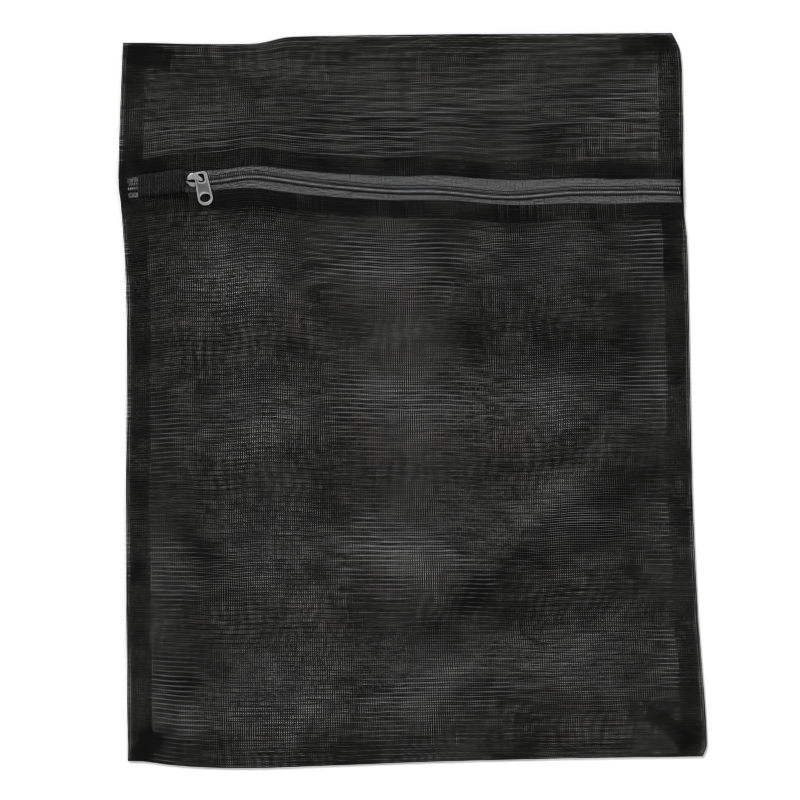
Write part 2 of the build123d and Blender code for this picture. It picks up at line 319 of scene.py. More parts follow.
def fold_rise(x, y):
    """How far the kept folds lift the cloth at a lying point, and how much of a crest is there."""
    lift = 0.0
    crest = 0.0
    for path, height, half_width in FOLDS:
        nearest = None
        walked = 0.0
        lengths = [math.dist(a, b) for a, b in zip(path, path[1:])]
        whole = sum(lengths)
        for (a, b), length in zip(zip(path, path[1:]), lengths):
            run_x = (b[0] - a[0]) / length
            run_y = (b[1] - a[1]) / length
            part = (x - a[0]) * run_x + (y - a[1]) * run_y
            part = min(max(part, 0.0), length)
            away = math.hypot(x - a[0] - part * run_x, y - a[1] - part * run_y)
            if nearest is None or away < nearest[0]:
                nearest = (away, (walked + part) / whole)
            walked += length
        away, share = nearest
        if away > 3 * half_width:
            continue
        taper = math.sin(math.pi * min(max(share, 0.02), 0.98)) ** 0.7
        shape = math.exp(-((away / half_width) ** 2)) * taper
        lift += height * shape
        crest += shape
    return lift * MM, min(crest, 1.0)


def crumple(x, y, seed):
    """Soft irregular waves of cloth that nothing holds flat, from about -1 to 1."""
    broad = noise.noise(Vector((x * 14, y * 26, seed)))
    fine = noise.noise(Vector((x * 42, y * 70, seed + 7.0)))
    return broad + 0.35 * fine


# The side of a fold that the light falls on, seen from above
LIT_SIDE = Vector((-0.54, 0.84))


def hold(x, y):
    """How free the cloth is to lift: 0 at the seams, folds and zip."""
    side = HALF_WIDTH - abs(x)
    end = HALF_HEIGHT - abs(y)
    off = abs(y - zip_line(x)) - 16 * MM
    return smooth(side / (22 * MM)) * smooth(end / (16 * MM)) * smooth(off / (18 * MM))


def front_height(x, y, lying):
    """Height of the front's cloth at a sewn point, and its painted light and shade."""
    lift, crest = fold_rise(lying[0] / MM, lying[1] / MM)
    free = hold(x, y)
    settings = bpy.context.scene.laundry_bag_sizes
    waves = crumple(x, y, 3.0) * settings.crumple
    height = front_level(x, y) + (lift * settings.fold_strength + waves) * free
    # Painted light and shade: the side of a fold toward the light is painted lighter and the far
    # side darker, with a painted highlight along the crests.
    reach = 2.0
    toward, _ = fold_rise(lying[0] / MM + LIT_SIDE.x * reach, lying[1] / MM + LIT_SIDE.y * reach)
    beyond, _ = fold_rise(lying[0] / MM - LIT_SIDE.x * reach, lying[1] / MM - LIT_SIDE.y * reach)
    facing = (beyond - toward) / (2 * reach * MM)
    painted_shading = painted_shading_at(lying[0] / MM, lying[1] / MM) + (0.12 * crest + 1.1 * facing) * free
    # Painted shade over the doubled seam allowance, over its folded ends and beside the zip where
    # the hem lies under the cloth.
    side = HALF_WIDTH - abs(x) - settings.allowance_start
    painted_shading -= 0.15 * smooth(side / MM) * smooth((settings.allowance_width - side) / (3 * MM) + 0.5)
    painted_shading -= 0.3 * over_folded_end(x, y)
    if abs(y - zip_line(x)) < settings.mouth + settings.hem_width:
        painted_shading -= 0.2
    return max(height, settings.seam_level), painted_shading


# Mesh helpers


def sewn_grid(bm, left, right, bottom, top, step, crowd=0.0):
    """A flat grid between sewn sides. crowd draws its lines towards the outer edges."""
    columns = max(int((right - left) / step), 1)
    rows = max(int((top - bottom) / step), 1)
    verts = bmesh.ops.create_grid(bm, x_segments=columns, y_segments=rows, size=0.5)["verts"]
    whole = 2 * math.pi
    for vert in verts:
        across, up = vert.co.x + 0.5, vert.co.y + 0.5
        across -= crowd * math.sin(whole * across) / whole
        up -= crowd * math.sin(whole * up) / whole
        vert.co = (mix(left, right, across), mix(bottom, top, up), 0.0)
    return verts


def cloth_layers(bm):
    """Where each point was sewn, for the knit, and the painted light and shade on the cloth there.
    """
    sewn = bm.verts.layers.float_vector.new("sewn")
    painted_shading = bm.verts.layers.float.new("painted_shading")
    return sewn, painted_shading


def make_piece(name, bm, material, stands_for=(), body="root"):
    """A finished mesh as a piece of the bag, riding on one of its bodies."""
    mesh = bpy.data.meshes.new(name)
    bm.to_mesh(mesh)
    bm.free()
    mesh.materials.append(material)
    mesh.shade_smooth()
    piece = bpy.data.objects.new(name, mesh)
    bpy.context.scene.collection.objects.link(piece)
    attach(piece, body)
    if stands_for:
        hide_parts(*stands_for)
    return piece


def part_the_mouth(piece):
    """Gives a piece its own copy of its mesh."""
    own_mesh(piece)


def tube_along(bm, start, end, radius, sides, step):
    """A straight closed tube along X, in short spans so that it can bend."""
    turn = Matrix.Rotation(math.pi / 2, 4, "Y")
    place = Matrix.Translation((start, 0, 0)) @ turn
    bmesh.ops.create_circle(bm, cap_ends=False, radius=radius, segments=sides, matrix=place)
    ring = list(bm.edges)
    bmesh.ops.contextual_create(bm, geom=ring)
    spans = max(int((end - start) / step), 1)
    for _ in range(spans):
        grown = bmesh.ops.extrude_edge_only(bm, edges=ring)["geom"]
        verts = [item for item in grown if isinstance(item, bmesh.types.BMVert)]
        ring = [
            item for item in grown
            if isinstance(item, bmesh.types.BMEdge) and all(vert in verts for vert in item.verts)
        ]
        bmesh.ops.translate(bm, vec=((end - start) / spans, 0, 0), verts=verts)
    bmesh.ops.contextual_create(bm, geom=ring)
    bmesh.ops.recalc_face_normals(bm, faces=bm.faces)
    return bm.verts


# Node helpers


def add_node(tree, kind, **settings):
    """A node with its settings."""
    node = tree.nodes.new(kind)
    for key, value in settings.items():
        setattr(node, key, value)
    return node


def feed(tree, value, socket):
    """Joins an output to a socket, or sets the socket to a plain value."""
    if isinstance(value, bpy.types.NodeSocket):
        tree.links.new(value, socket)
    else:
        socket.default_value = value


def calculate(tree, operation, *values):
    """A Math node's result."""
    node = add_node(tree, "ShaderNodeMath", operation=operation)
    for socket, value in zip(node.inputs, values):
        feed(tree, value, socket)
    return node.outputs[0]


def parts_of(tree, place):
    """The outputs X, Y and Z of a place."""
    split = add_node(tree, "ShaderNodeSeparateXYZ")
    feed(tree, place, split.inputs[0])
    return split.outputs


def blend_colours(tree, share, first, second):
    """Between two colours."""
    node = add_node(tree, "ShaderNodeMix", data_type="RGBA")
    feed(tree, share, node.inputs["Factor"])
    feed(tree, first, node.inputs["A"])
    feed(tree, second, node.inputs["B"])
    return node.outputs["Result"]


def shade_of(colour, times=1.0):
    """A colour made darker or lighter, as a socket takes it."""
    return (*(channel * times for channel in colour), 1.0)


def remap(tree, value, low, high, to_low=0.0, to_high=1.0, kind="SMOOTHSTEP"):
    """A value's place between two limits."""
    node = add_node(tree, "ShaderNodeMapRange", interpolation_type=kind)
    limits = {"From Min": low, "From Max": high, "To Min": to_low, "To Max": to_high}
    for name, number in {"Value": value, **limits}.items():
        feed(tree, number, node.inputs[name])
    return node.outputs["Result"]


def soft_noise(tree, place, scale, detail=2.0):
    """A noise value about 0.5."""
    node = add_node(tree, "ShaderNodeTexNoise")
    node.inputs["Scale"].default_value = scale
    node.inputs["Detail"].default_value = detail
    feed(tree, place, node.inputs["Vector"])
    return node.outputs["Fac"]


def new_group(name, numbers, results):
    """An empty node group that takes a sewn place and some numbers, and gives numbers."""
    group = bpy.data.node_groups.new(name, "ShaderNodeTree")
    group.interface.new_socket("Sewn", in_out="INPUT", socket_type="NodeSocketVector")
    for way, labels in (("INPUT", numbers), ("OUTPUT", results)):
        for label in labels:
            group.interface.new_socket(label, in_out=way, socket_type="NodeSocketFloat")
    given = group.nodes.new("NodeGroupInput").outputs
    return group, given, group.nodes.new("NodeGroupOutput").inputs


def use_group(tree, group, **values):
    """A group placed in a material with its own values."""
    node = add_node(tree, "ShaderNodeGroup", node_tree=group)
    for label, value in values.items():
        feed(tree, value, node.inputs[label.replace("_", " ")])
    return node.outputs


def net_group():
    """Knitted net: holes between columns of loops, with every second course heavier, and a painted
    glint on each loop as its Loop output.
    """
    group, given, result = new_group(
        "Knitted net", ("Wale", "Course", "Hole width", "Hole height", "Rib", "Unevenness"),
        ("Solid", "Height", "Loop"),
    )

    def work(operation, *values):
        return calculate(group, operation, *values)

    def row_noise(per_metre, row_step, *limits):
        """A noise that runs along each row by itself."""
        place = add_node(group, "ShaderNodeCombineXYZ")
        feed(group, work("MULTIPLY", along, per_metre), place.inputs["X"])
        feed(group, work("MULTIPLY", number, row_step), place.inputs["Y"])
        return remap(group, soft_noise(group, place.outputs[0], 1.0, 1.0), *limits)

    def hole_reach(place, opening):
        """0 in the middle of a hole and 1 at its rim, in one direction."""
        away = work("ABSOLUTE", work("SUBTRACT", work("FRACT", place), 0.5))
        return work("POWER", work("MULTIPLY", work("DIVIDE", away, opening), 2.0), 3.0)

    place = parts_of(group, given["Sewn"])
    drift = work("SUBTRACT", soft_noise(group, given["Sewn"], 55.0, 3.0), 0.5)
    drift = work("MULTIPLY", drift, given["Unevenness"])
    along = work("ADD", place["X"], drift)
    row = work("DIVIDE", work("ADD", place["Y"], drift), given["Course"])
    number = work("FLOOR", row)
    every_second = work("MULTIPLY_ADD", work("FLOORED_MODULO", number, 2.0), 2.0, -1.0)
    ribbed = work("MULTIPLY_ADD", every_second, given["Rib"], 1.0)
    streak = row_noise(70.0, 1.37, 0.3, 0.7)
    tall = work("MULTIPLY", given["Hole height"], ribbed)
    tall = work("MULTIPLY", tall, work("MULTIPLY_ADD", streak, 0.5, 0.75))
    reach_x = hole_reach(work("DIVIDE", along, given["Wale"]), given["Hole width"])
    reach = work("ADD", reach_x, hole_reach(row, tall))
    feed(group, remap(group, reach, 0.8, 1.25), result["Solid"])
    feed(group, remap(group, reach, 0.8, 3.5), result["Height"])
    # Painted glint: brightest midway between the columns, on the yarn across each hole, as if its
    # top caught the light; varied at random by streaks and flecks.
    crown = work("MAXIMUM", work("SUBTRACT", 1.25, work("MULTIPLY", reach_x, 1.2)), 0.0)
    fleck = row_noise(620.0, 3.71, 0.36, 0.64, 0.0, 2.0)
    varied = work("MULTIPLY", work("ADD", streak, 0.5), fleck)
    feed(group, work("MULTIPLY", crown, varied), result["Loop"])
    return group


def weave_group():
    """Plain weave: threads over and under, as heights and a shade."""
    group, given, result = new_group("Narrow weave", ("Warp", "Weft"), ("Height", "Shade"))
    place = parts_of(group, given["Sewn"])
    weft = calculate(group, "DIVIDE", place["X"], given["Weft"])
    warp = calculate(group, "DIVIDE", place["Y"], given["Warp"])
    over = calculate(group, "FLOORED_MODULO", calculate(group, "FLOOR", warp), 2.0)
    shifted = calculate(group, "MULTIPLY_ADD", over, 0.5, weft)
    wave_x = calculate(group, "SINE", calculate(group, "MULTIPLY", shifted, 2 * math.pi))
    wave_y = calculate(group, "SINE", calculate(group, "MULTIPLY", warp, math.pi))
    height = calculate(group, "MULTIPLY", calculate(group, "ABSOLUTE", wave_y), wave_x)
    feed(group, calculate(group, "MULTIPLY_ADD", height, 0.5, 0.5), result["Height"])
    fleck = soft_noise(group, given["Sewn"], 900.0, 1.0)
    # Painted highlight: threads that lie on top are painted a little lighter, over random flecks.
    shade = calculate(group, "MULTIPLY_ADD", height, 0.12, fleck)
    feed(group, remap(group, shade, 0.4, 0.62, kind="LINEAR"), result["Shade"])
    return group


def once(collection, name, make):
    """The thing of this name, made the first time it is asked for."""
    return collection.get(name) or make()


def new_material(name, roughness, specular):
    """A material with a Principled shader."""
    material = bpy.data.materials.new(name)
    material.use_nodes = True
    tree = material.node_tree
    shader = tree.nodes["Principled BSDF"]
    shader.inputs["Roughness"].default_value = roughness
    shader.inputs["Specular IOR Level"].default_value = specular
    return material, tree, shader


def add_bump(tree, shader, height, distance, strength=1.0):
    """A bump from a height, in metres."""
    bump = add_node(tree, "ShaderNodeBump")
    bump.inputs["Strength"].default_value = strength
    bump.inputs["Distance"].default_value = distance
    feed(tree, height, bump.inputs["Height"])
    feed(tree, bump.outputs["Normal"], shader.inputs["Normal"])


def marked(tree, name, output="Fac"):
    """What the mesh's own attribute says at each point."""
    return add_node(tree, "ShaderNodeAttribute", attribute_name=name).outputs[output]


def object_place(tree):
    """Each point's place in its object."""
    return add_node(tree, "ShaderNodeTexCoord").outputs["Object"]


def net_material(name, layers=1.0, course=1.0, turn=0.0, lift=1.0):
    """Black knitted net, its yarn lightened by painted light and shade. layers above 1 close its
    holes, as where the cloth is doubled. lift scales the painted light and shade, and a low lift
    paints the layer darker, as shade.
    """
    finish = bpy.context.scene.laundry_bag_net
    material, tree, shader = new_material(name, 0.6, 0.05)
    place = marked(tree, "sewn", "Vector")
    if turn:
        mapping = add_node(tree, "ShaderNodeMapping")
        mapping.inputs["Rotation"].default_value = (0.0, 0.0, turn)
        feed(tree, place, mapping.inputs["Vector"])
        place = mapping.outputs["Vector"]
    net = use_group(
        tree, once(bpy.data.node_groups, "Knitted net", net_group), Sewn=place,
        Wale=finish.wale, Course=finish.course * course, Hole_width=finish.hole_width,
        Hole_height=finish.hole_height, Rib=finish.rib, Unevenness=finish.unevenness,
    )
    # Painted light and shade: the yarn is blended toward its lighter colour by the marked patches
    # and fold shading, times a painted glint on each loop.
    mottle = remap(tree, soft_noise(tree, place, 40.0, 3.0), 0.3, 0.7, -0.18, 0.18)
    bright = calculate(tree, "MULTIPLY_ADD", marked(tree, "painted_shading"), 0.8, mottle)
    bright = calculate(tree, "MULTIPLY_ADD", bright, lift, finish.base_painted_light)
    loops = calculate(tree, "MULTIPLY_ADD", net["Loop"], 1.05, 0.05)
    share = calculate(tree, "MAXIMUM", calculate(tree, "MULTIPLY", bright, loops), 0.0)
    share = calculate(tree, "MINIMUM", share, 1.0)
    yarn = blend_colours(tree, share, shade_of(finish.yarn), shade_of(finish.yarn_in_painted_light))
    feed(tree, yarn, shader.inputs["Base Color"])
    closed = calculate(tree, "DIVIDE", calculate(tree, "SUBTRACT", 1.0, net["Solid"]), layers)
    feed(tree, calculate(tree, "SUBTRACT", 1.0, closed), shader.inputs["Alpha"])
    add_bump(tree, shader, net["Height"], 0.0002, 0.8)
    return material


def thread_material(name, colour, pitch):
    """Twisted sewing thread, with painted shade in the grooves of its twist."""
    material, tree, shader = new_material(name, 0.55, 0.12)
    place = parts_of(tree, object_place(tree))
    slant = calculate(tree, "ADD", place["X"], place["Y"])
    turns = calculate(tree, "SINE", calculate(tree, "MULTIPLY", slant, 2 * math.pi / pitch))
    # Painted shade: darker where the bump puts the grooves of the twist.
    share = calculate(tree, "MULTIPLY_ADD", turns, 0.3, 0.5)
    groove_shaded = blend_colours(tree, share, shade_of(colour, 0.5), shade_of(colour))
    feed(tree, groove_shaded, shader.inputs["Base Color"])
    add_bump(tree, shader, turns, 0.00006)
    return material


def woven_material(name, roughness, specular, warp, weft):
    """A woven material to colour, with its tree, shader, weave and sewn place."""
    material, tree, shader = new_material(name, roughness, specular)
    place = marked(tree, "sewn", "Vector")
    group = once(bpy.data.node_groups, "Narrow weave", weave_group)
    weave = use_group(tree, group, Sewn=place, Warp=warp, Weft=weft)
    add_bump(tree, shader, weave["Height"], 0.00012)
    return material, tree, shader, weave, place


def tape_material():
    """Charcoal woven tape, painted black beside the coil as painted shade, and black where the left
    side seam's net covers it.
    """
    finish = bpy.context.scene.laundry_bag_zip
    material, tree, shader, weave, place = woven_material(
        "Zip tape weave", 0.75, 0.1, 0.6 * MM, 0.95 * MM
    )
    colour = blend_colours(
        tree, weave["Shade"], shade_of(finish.tape, 0.08), shade_of(finish.tape, 1.35)
    )
    # Painted shade: the tape takes the coil's black within the band beside the coil, where the coil
    # shades it, and where the left side seam's net covers it.
    place = parts_of(tree, place)
    away = calculate(tree, "ABSOLUTE", place["Y"])
    plain = remap(tree, away, finish.shaded_band - 0.15 * MM, finish.shaded_band + 0.15 * MM)
    end = -HALF_WIDTH + STRIP_REACH[-1] * MM
    plain = calculate(tree, "MULTIPLY", plain, remap(tree, place["X"], end - 0.1 * MM, end))
    colour = blend_colours(tree, plain, shade_of(finish.coil), colour)
    feed(tree, colour, shader.inputs["Base Color"])
    return material


def coil_material():
    """Black nylon wire with a soft gloss, and a pale painted highlight where marked on each loop."""
    finish = bpy.context.scene.laundry_bag_zip
    material, tree, shader = new_material("Zip coil nylon", 0.28, 0.3)
    scuff = soft_noise(tree, object_place(tree), 700.0, 2.0)
    # Painted highlight: the marked loop tops are blended toward the pale colour, varied at random.
    uneven = calculate(tree, "MULTIPLY_ADD", scuff, 0.8, 0.6)
    painted_highlight = calculate(tree, "MULTIPLY", marked(tree, "painted_glint"), uneven)
    colour = blend_colours(tree, painted_highlight, shade_of(finish.coil), shade_of(finish.coil_highlight))
    feed(tree, colour, shader.inputs["Base Color"])
    feed(tree, remap(tree, scuff, 0.3, 0.7, 0.22, 0.34), shader.inputs["Roughness"])
    return material


def elastic_material():
    """Black woven elastic with ribs across it, their crests painted lighter as a painted highlight.
    """
    finish = bpy.context.scene.laundry_bag_zip
    material, tree, shader, weave, place = woven_material(
        "Elastic webbing", 0.8, 0.08, 0.45 * MM, 0.6 * MM
    )
    turns = calculate(
        tree, "MULTIPLY", parts_of(tree, place)["X"], 2 * math.pi / finish.rib_pitch
    )
    # Painted highlight: each rib's crest is painted lighter, varied at random along the elastic.
    crest = remap(tree, calculate(tree, "COSINE", turns), -0.2, 1.0)
    glinting = remap(tree, soft_noise(tree, place, 260.0, 2.0), 0.3, 0.65, 0.35, 1.1)
    share = calculate(tree, "MULTIPLY", calculate(tree, "MULTIPLY", crest, weave["Shade"]), glinting)
    colour = blend_colours(tree, share, shade_of(finish.elastic), shade_of(finish.elastic, 8))
    feed(tree, colour, shader.inputs["Base Color"])
    return material


def metal_material():
    """Gunmetal plating, a little cloudy and scuffed, with painted highlights on its rims and painted
    shadow where marked.
    """
    finish = bpy.context.scene.laundry_bag_zip
    material, tree, shader = new_material("Gunmetal plating", 0.3, 0.5)
    shader.inputs["Metallic"].default_value = 1.0
    place = object_place(tree)
    cloud = calculate(tree, "SUBTRACT", soft_noise(tree, place, 260.0, 3.0), 0.5)
    grain = soft_noise(tree, place, 2600.0, 2.0)
    # Painted highlight: the marked rims are blended toward the bright colour.
    share = calculate(tree, "MULTIPLY_ADD", cloud, 0.5, marked(tree, "painted_highlight"))
    colour = blend_colours(tree, share, shade_of(finish.metal), shade_of(finish.highlight_metal))
    # Painted shadow: marked points are blended toward the dark colour.
    colour = blend_colours(tree, marked(tree, "shade"), colour, shade_of(finish.shadow_metal))
    feed(tree, colour, shader.inputs["Base Color"])
    feed(tree, calculate(tree, "MULTIPLY_ADD", grain, 0.14, 0.22), shader.inputs["Roughness"])
    add_bump(tree, shader, grain, 0.00002)
    return material


# Settings


def length(name, description, default):
    """A setting in metres."""
    return bpy.props.FloatProperty(
        name=name, description=description, default=default, unit="LENGTH", precision=5
    )


def factor(name, description, default):
    """A setting from 0 to 1."""
    return bpy.props.FloatProperty(
        name=name, description=description, default=default, min=0.0, max=1.0, subtype="FACTOR"
    )


def strength(name, description, default):
    """A setting of 0 or more."""
    return bpy.props.FloatProperty(name=name, description=description, default=default, min=0.0)


def tint(name, description, default):
    """A colour setting."""
    return bpy.props.FloatVectorProperty(
        name=name, description=description, default=default, size=3, min=0.0, max=1.0,
        subtype="COLOR",
    )


class BagSizes(bpy.types.PropertyGroup):
    """How the bag's cloth lies."""

    cloth_step: length("Cloth step", "Distance between the cloth's mesh lines", 3.0 * MM)
    mouth: length("Mouth", "Zip's centre line to a hem's edge, as sewn", 6.3 * MM)
    flat_band: length("Flat band", "Half width of the cloth that the zip keeps flat", 17.0 * MM)
    hem_width: length("Hem width", "Width of the turned-under hem beside the zip", 9.0 * MM)
    allowance_start: length("Allowance start", "Side edge to the seam allowance", 2.2 * MM)
    allowance_width: length("Allowance width", "Width of the allowance in each side", 10.5 * MM)
    edge_run: length("Edge run", "Seam to full height, at the ends of the zip", 9.0 * MM)
    panel_run: length("Panel run", "Seam to full height, away from the zip", 26.0 * MM)
    seam_level: length("Seam level", "Height of the cloth's edge", 1.1 * MM)
    back_level: length("Back level", "Height of the back's cloth over the floor", 0.3 * MM)
    crumple: length("Crumple", "Height of the soft waves in the front", 1.5 * MM)
    fold_strength: strength("Fold strength", "How far the kept folds stand up", 1.5)
    mouth_parting: length("Mouth parting", "How far an open zip's sides draw back", 0.5 * MM)


class NetFinish(bpy.types.PropertyGroup):
    """The knitted net."""

    wale: length("Wale", "Distance between columns of loops", 1.18 * MM)
    course: length("Course", "Distance between rows of loops", 1.275 * MM)
    hole_width: factor("Hole width", "Share of a column that is open", 0.63)
    hole_height: factor("Hole height", "Share of a row that is open", 0.56)
    rib: factor("Rib", "How much every second row is more open than the next", 0.36)
    unevenness: length("Unevenness", "How far the knit wanders", 1.6 * MM)
    # Painted light on the net where no patch or fold changes it.
    base_painted_light: factor("Haze", "How hazy the net looks where nothing changes it", 0.3)
    yarn: tint("Yarn", "Yarn in shade", (0.004, 0.004, 0.0038))
    # Yarn colour where painted light falls: patches, lit sides of folds and glints on the loops.
    yarn_in_painted_light: tint("Light yarn", "Yarn where the net looks hazy", (0.11, 0.11, 0.104))


class ZipFinish(bpy.types.PropertyGroup):
    """The zip, elastic and thread."""

    tooth_pitch: length("Tooth pitch", "Length of one turn of the coil", 1.15 * MM)
    wire: length("Wire", "Radius of the coil's nylon wire", 0.21 * MM)
    loop_width: length("Loop width", "Width of a coil loop across the zip", 2.5 * MM)
    closed_middle: length("Closed row", "Centre line to a shut row's middle", 0.98 * MM)
    open_middle: length("Open row", "Centre line to an open row's middle", 1.42 * MM)
    tape_width: length("Tape reach", "Centre line to the tape's outer edge", 12.5 * MM)
    rib_pitch: length("Rib pitch", "Distance between the elastic's ribs", 1.2 * MM)
    # Painted shade: half width of the tape painted black beside the coil.
    shaded_band: length("Black band", "Half width of the black yarns beside the coil", 2.6 * MM)
    tape: tint("Tape", "Woven tape", (0.115, 0.115, 0.117))
    coil: tint("Coil", "Nylon wire", (0.006, 0.006, 0.006))
    # Painted highlight: the pale colour put on the top of the coil's loops.
    coil_highlight: tint("Coil crown", "Nylon wire where it is rubbed pale", (0.95, 0.95, 0.95))
    elastic: tint("Elastic", "Elastic over the closed end", (0.004, 0.004, 0.004))
    thread: tint("Thread", "Sewing thread", (0.02, 0.02, 0.02))
    hidden_thread: tint("Coil thread", "Thread and cord of the coil", (0.005, 0.005, 0.005))
    metal: tint("Metal", "Slider and pull tab", (0.27, 0.27, 0.275))
    # Painted highlight: the bright colour of the metal's rims.
    highlight_metal: tint("Worn metal", "Rims that are rubbed bright", (0.68, 0.68, 0.68))
    # Painted shadow: the dark colour under the slider's crown and the tab's head.
    shadow_metal: tint("Dark metal", "Metal in the gaps", (0.015, 0.015, 0.015))


class StageSettings(bpy.types.PropertyGroup):
    """Floor, light and camera."""

    floor: tint("Floor", "Pale floor", (0.93, 0.93, 0.93))
    sky: strength("Sky", "Strength of the even light all round", 0.98)
    overhead_share: factor("Overhead share", "How bright it is overhead, against the sides", 0.35)
    key: strength("Key light", "Strength of the large soft light", 2.7)
    fill_share: factor("Fill share", "Strength of the other light, against the key light", 0.15)
    height: length("Camera height", "Camera over the floor", 3.6)
    lens: bpy.props.FloatProperty(
        name="Lens", description="Focal length", default=302.8, unit="CAMERA"
    )


# Net


def lay_net(name, bottom, top, material, stands_for, height_of):
    """One sheet of net between two sewn heights, which may follow the zip."""
    bm = bmesh.new()
    sewn, painted_shading = cloth_layers(bm)
    step = bpy.context.scene.laundry_bag_sizes.cloth_step
    for vert in sewn_grid(bm, -HALF_WIDTH, HALF_WIDTH, 0.0, top - bottom, step, 0.8):
        x = vert.co.x
        rise = zip_line(x) - zip_line(0.0)
        low = bottom + rise * (bottom > -HALF_HEIGHT)
        high = top + rise * (top < HALF_HEIGHT)
        y = mix(low, high, vert.co.y / (top - bottom))
        place = lie(x, y)
        height, vert[painted_shading] = height_of(x, y, place)
        vert[sewn] = (x, y, 0.0)
        vert.co = (*place, height)
    return make_piece(name, bm, material, (stands_for,))


def back_height(x, y, _lying):
    """Height of the back's cloth: on the floor, with a few soft lifts, up to meet the seams."""
    sizes = bpy.context.scene.laundry_bag_sizes
    edge = min(HALF_WIDTH - abs(x), HALF_HEIGHT - abs(y))
    lift = max(crumple(x + 0.4, y - 0.3, 11.0), 0.0) * 1.2 * MM * smooth(edge / (30 * MM))
    rise = math.exp(-max(edge, 0.0) / (0.7 * MM)) * (sizes.seam_level - sizes.back_level)
    return sizes.back_level + lift + rise, 0.0


class BagLayNets(bpy.types.Operator):
    """Lays the back and the two fronts of knitted net"""

    bl_idname = "laundry_bag.lay_nets"
    bl_label = "Lay the nets"

    def execute(self, context):
        mouth = context.scene.laundry_bag_sizes.mouth
        centre = zip_line(0.0)
        # The back's net gets a low lift: painted shade, as it lies under the front.
        back = lay_net(
            "back_net", -HALF_HEIGHT, HALF_HEIGHT,
            net_material("Net back", turn=math.radians(0.9), lift=0.45), "back_panel", back_height,
        )
        upper = lay_net(
            "upper_front_net", centre + mouth, HALF_HEIGHT,
            net_material("Net upper front", course=0.8), "front_upper_panel", front_height,
        )
        part_the_mouth(upper)
        lower = lay_net(
            "lower_front_net", -HALF_HEIGHT, centre - mouth,
            net_material("Net lower front"), "front_lower_panel", front_height,
        )
        part_the_mouth(lower)
        return {"FINISHED"}


def turn_hem(name, upper, stands_for):
    """A hem: the panel's edge rolled under and laid flat on the tape."""
    sizes = bpy.context.scene.laundry_bag_sizes
    side = 1 if upper else -1
    roll_rows = 6
    rows = 14
    gap = 0.22 * MM
    step = 1.4 * MM
    bm = bmesh.new()
    sewn, painted_shading = cloth_layers(bm)
    for vert in sewn_grid(bm, -HALF_WIDTH, HALF_WIDTH, 0.0, (rows + 0.5) * step, step):
        x = vert.co.x / HALF_WIDTH * (HALF_WIDTH - 0.4 * MM)
        row = vert.co.y / (rows + 0.5) / step * rows
        angle = math.pi * min(row / roll_rows, 1.0)
        flat = max(row - roll_rows, 0.0) / (rows - roll_rows) * sizes.hem_width
        off = sizes.mouth - gap * math.sin(angle) + flat
        walked = gap * angle + flat
        y = zip_line(x) + side * off
        vert[sewn] = (x, y - side * walked, 0.0)
        # Painted shade on the hems, more on the upper one.
        vert[painted_shading] = -0.3 if upper else -0.12
        vert.co = (*lie(x, y), front_level(x, y) - gap * (1 - math.cos(angle)))
    hem = net_material("Net hem", layers=3.0) if upper else bpy.data.materials["Net hem"]
    return make_piece(name, bm, hem, (stands_for,))


class BagTurnHems(bpy.types.Operator):
    bl_idname = "laundry_bag.turn_hems"
    bl_label = "Turn the hems"

    def execute(self, context):
        for word, upper, edge in (("upper", True, HALF_HEIGHT), ("lower", False, -HALF_HEIGHT)):
            hem = turn_hem(f"{word}_hem_net", upper, f"{word}_hem")
            part_the_mouth(hem)
        return {"FINISHED"}


# Seam allowances

# How far the side seams' net reaches over the ends of the zip, in mm
STRIP_REACH = {-1: 4.7, 1: 1.4}
STRIP_HALF = 9 * MM
PATCH_STEP = 2.5 * MM


def cloth_patch(layers, verts, turn, level):
    """Lays flat verts of an allowance between the back and the front, turned about their middle."""
    sewn, painted_shading = layers
    centre = sum((vert.co for vert in verts), Vector()) / len(verts)
    for vert in verts:
        fray = 1.4 * MM * noise.noise(Vector((0.0, vert.co.y * 60, 5.0))) * smooth(1 - abs(turn))
        spot = Matrix.Rotation(turn, 3, "Z") @ (vert.co - centre) + centre
        spot.x += fray
        x = min(max(spot.x, -HALF_WIDTH + 0.3 * MM), HALF_WIDTH - 0.3 * MM)
        y = min(max(spot.y, -HALF_HEIGHT + 0.5 * MM), HALF_HEIGHT - 0.5 * MM)
        vert[sewn] = (vert.co.x, vert.co.y, 0.0)
        # Painted shade, slight, on the allowance.
        vert[painted_shading] = -0.05
        vert.co = (*lie(x, y), min(level, front_level(x, y) - 0.3 * MM))


def cover_zip_end(bm, layers, side):
    """The side seam's net where it reaches over one end of the zip. Gives its area."""
    sewn, painted_shading = layers
    strip = STRIP_REACH[side] * MM
    low, high = sorted((side * (HALF_WIDTH - 0.2 * MM), side * (HALF_WIDTH - strip)))
    middle = zip_line(side * HALF_WIDTH)
    for vert in sewn_grid(bm, low, high, middle - STRIP_HALF, middle + STRIP_HALF, 0.8 * MM):
        x, y, _ = vert.co
        vert[sewn] = (x, y, 0.0)
        # Painted shade on the net over the end of the zip.
        vert[painted_shading] = -0.5
        lying_y = chain_line(x) + y - zip_line(x)
        edge = curve_through(LEFT_EDGE if side < 0 else RIGHT_EDGE, lying_y)
        level = max(zip_level(x, COIL_TOP + 0.5 * MM), front_level(x, y) + 0.15 * MM)
        vert.co = (x + edge - side * HALF_WIDTH, lying_y, level)
    return strip * 2 * STRIP_HALF


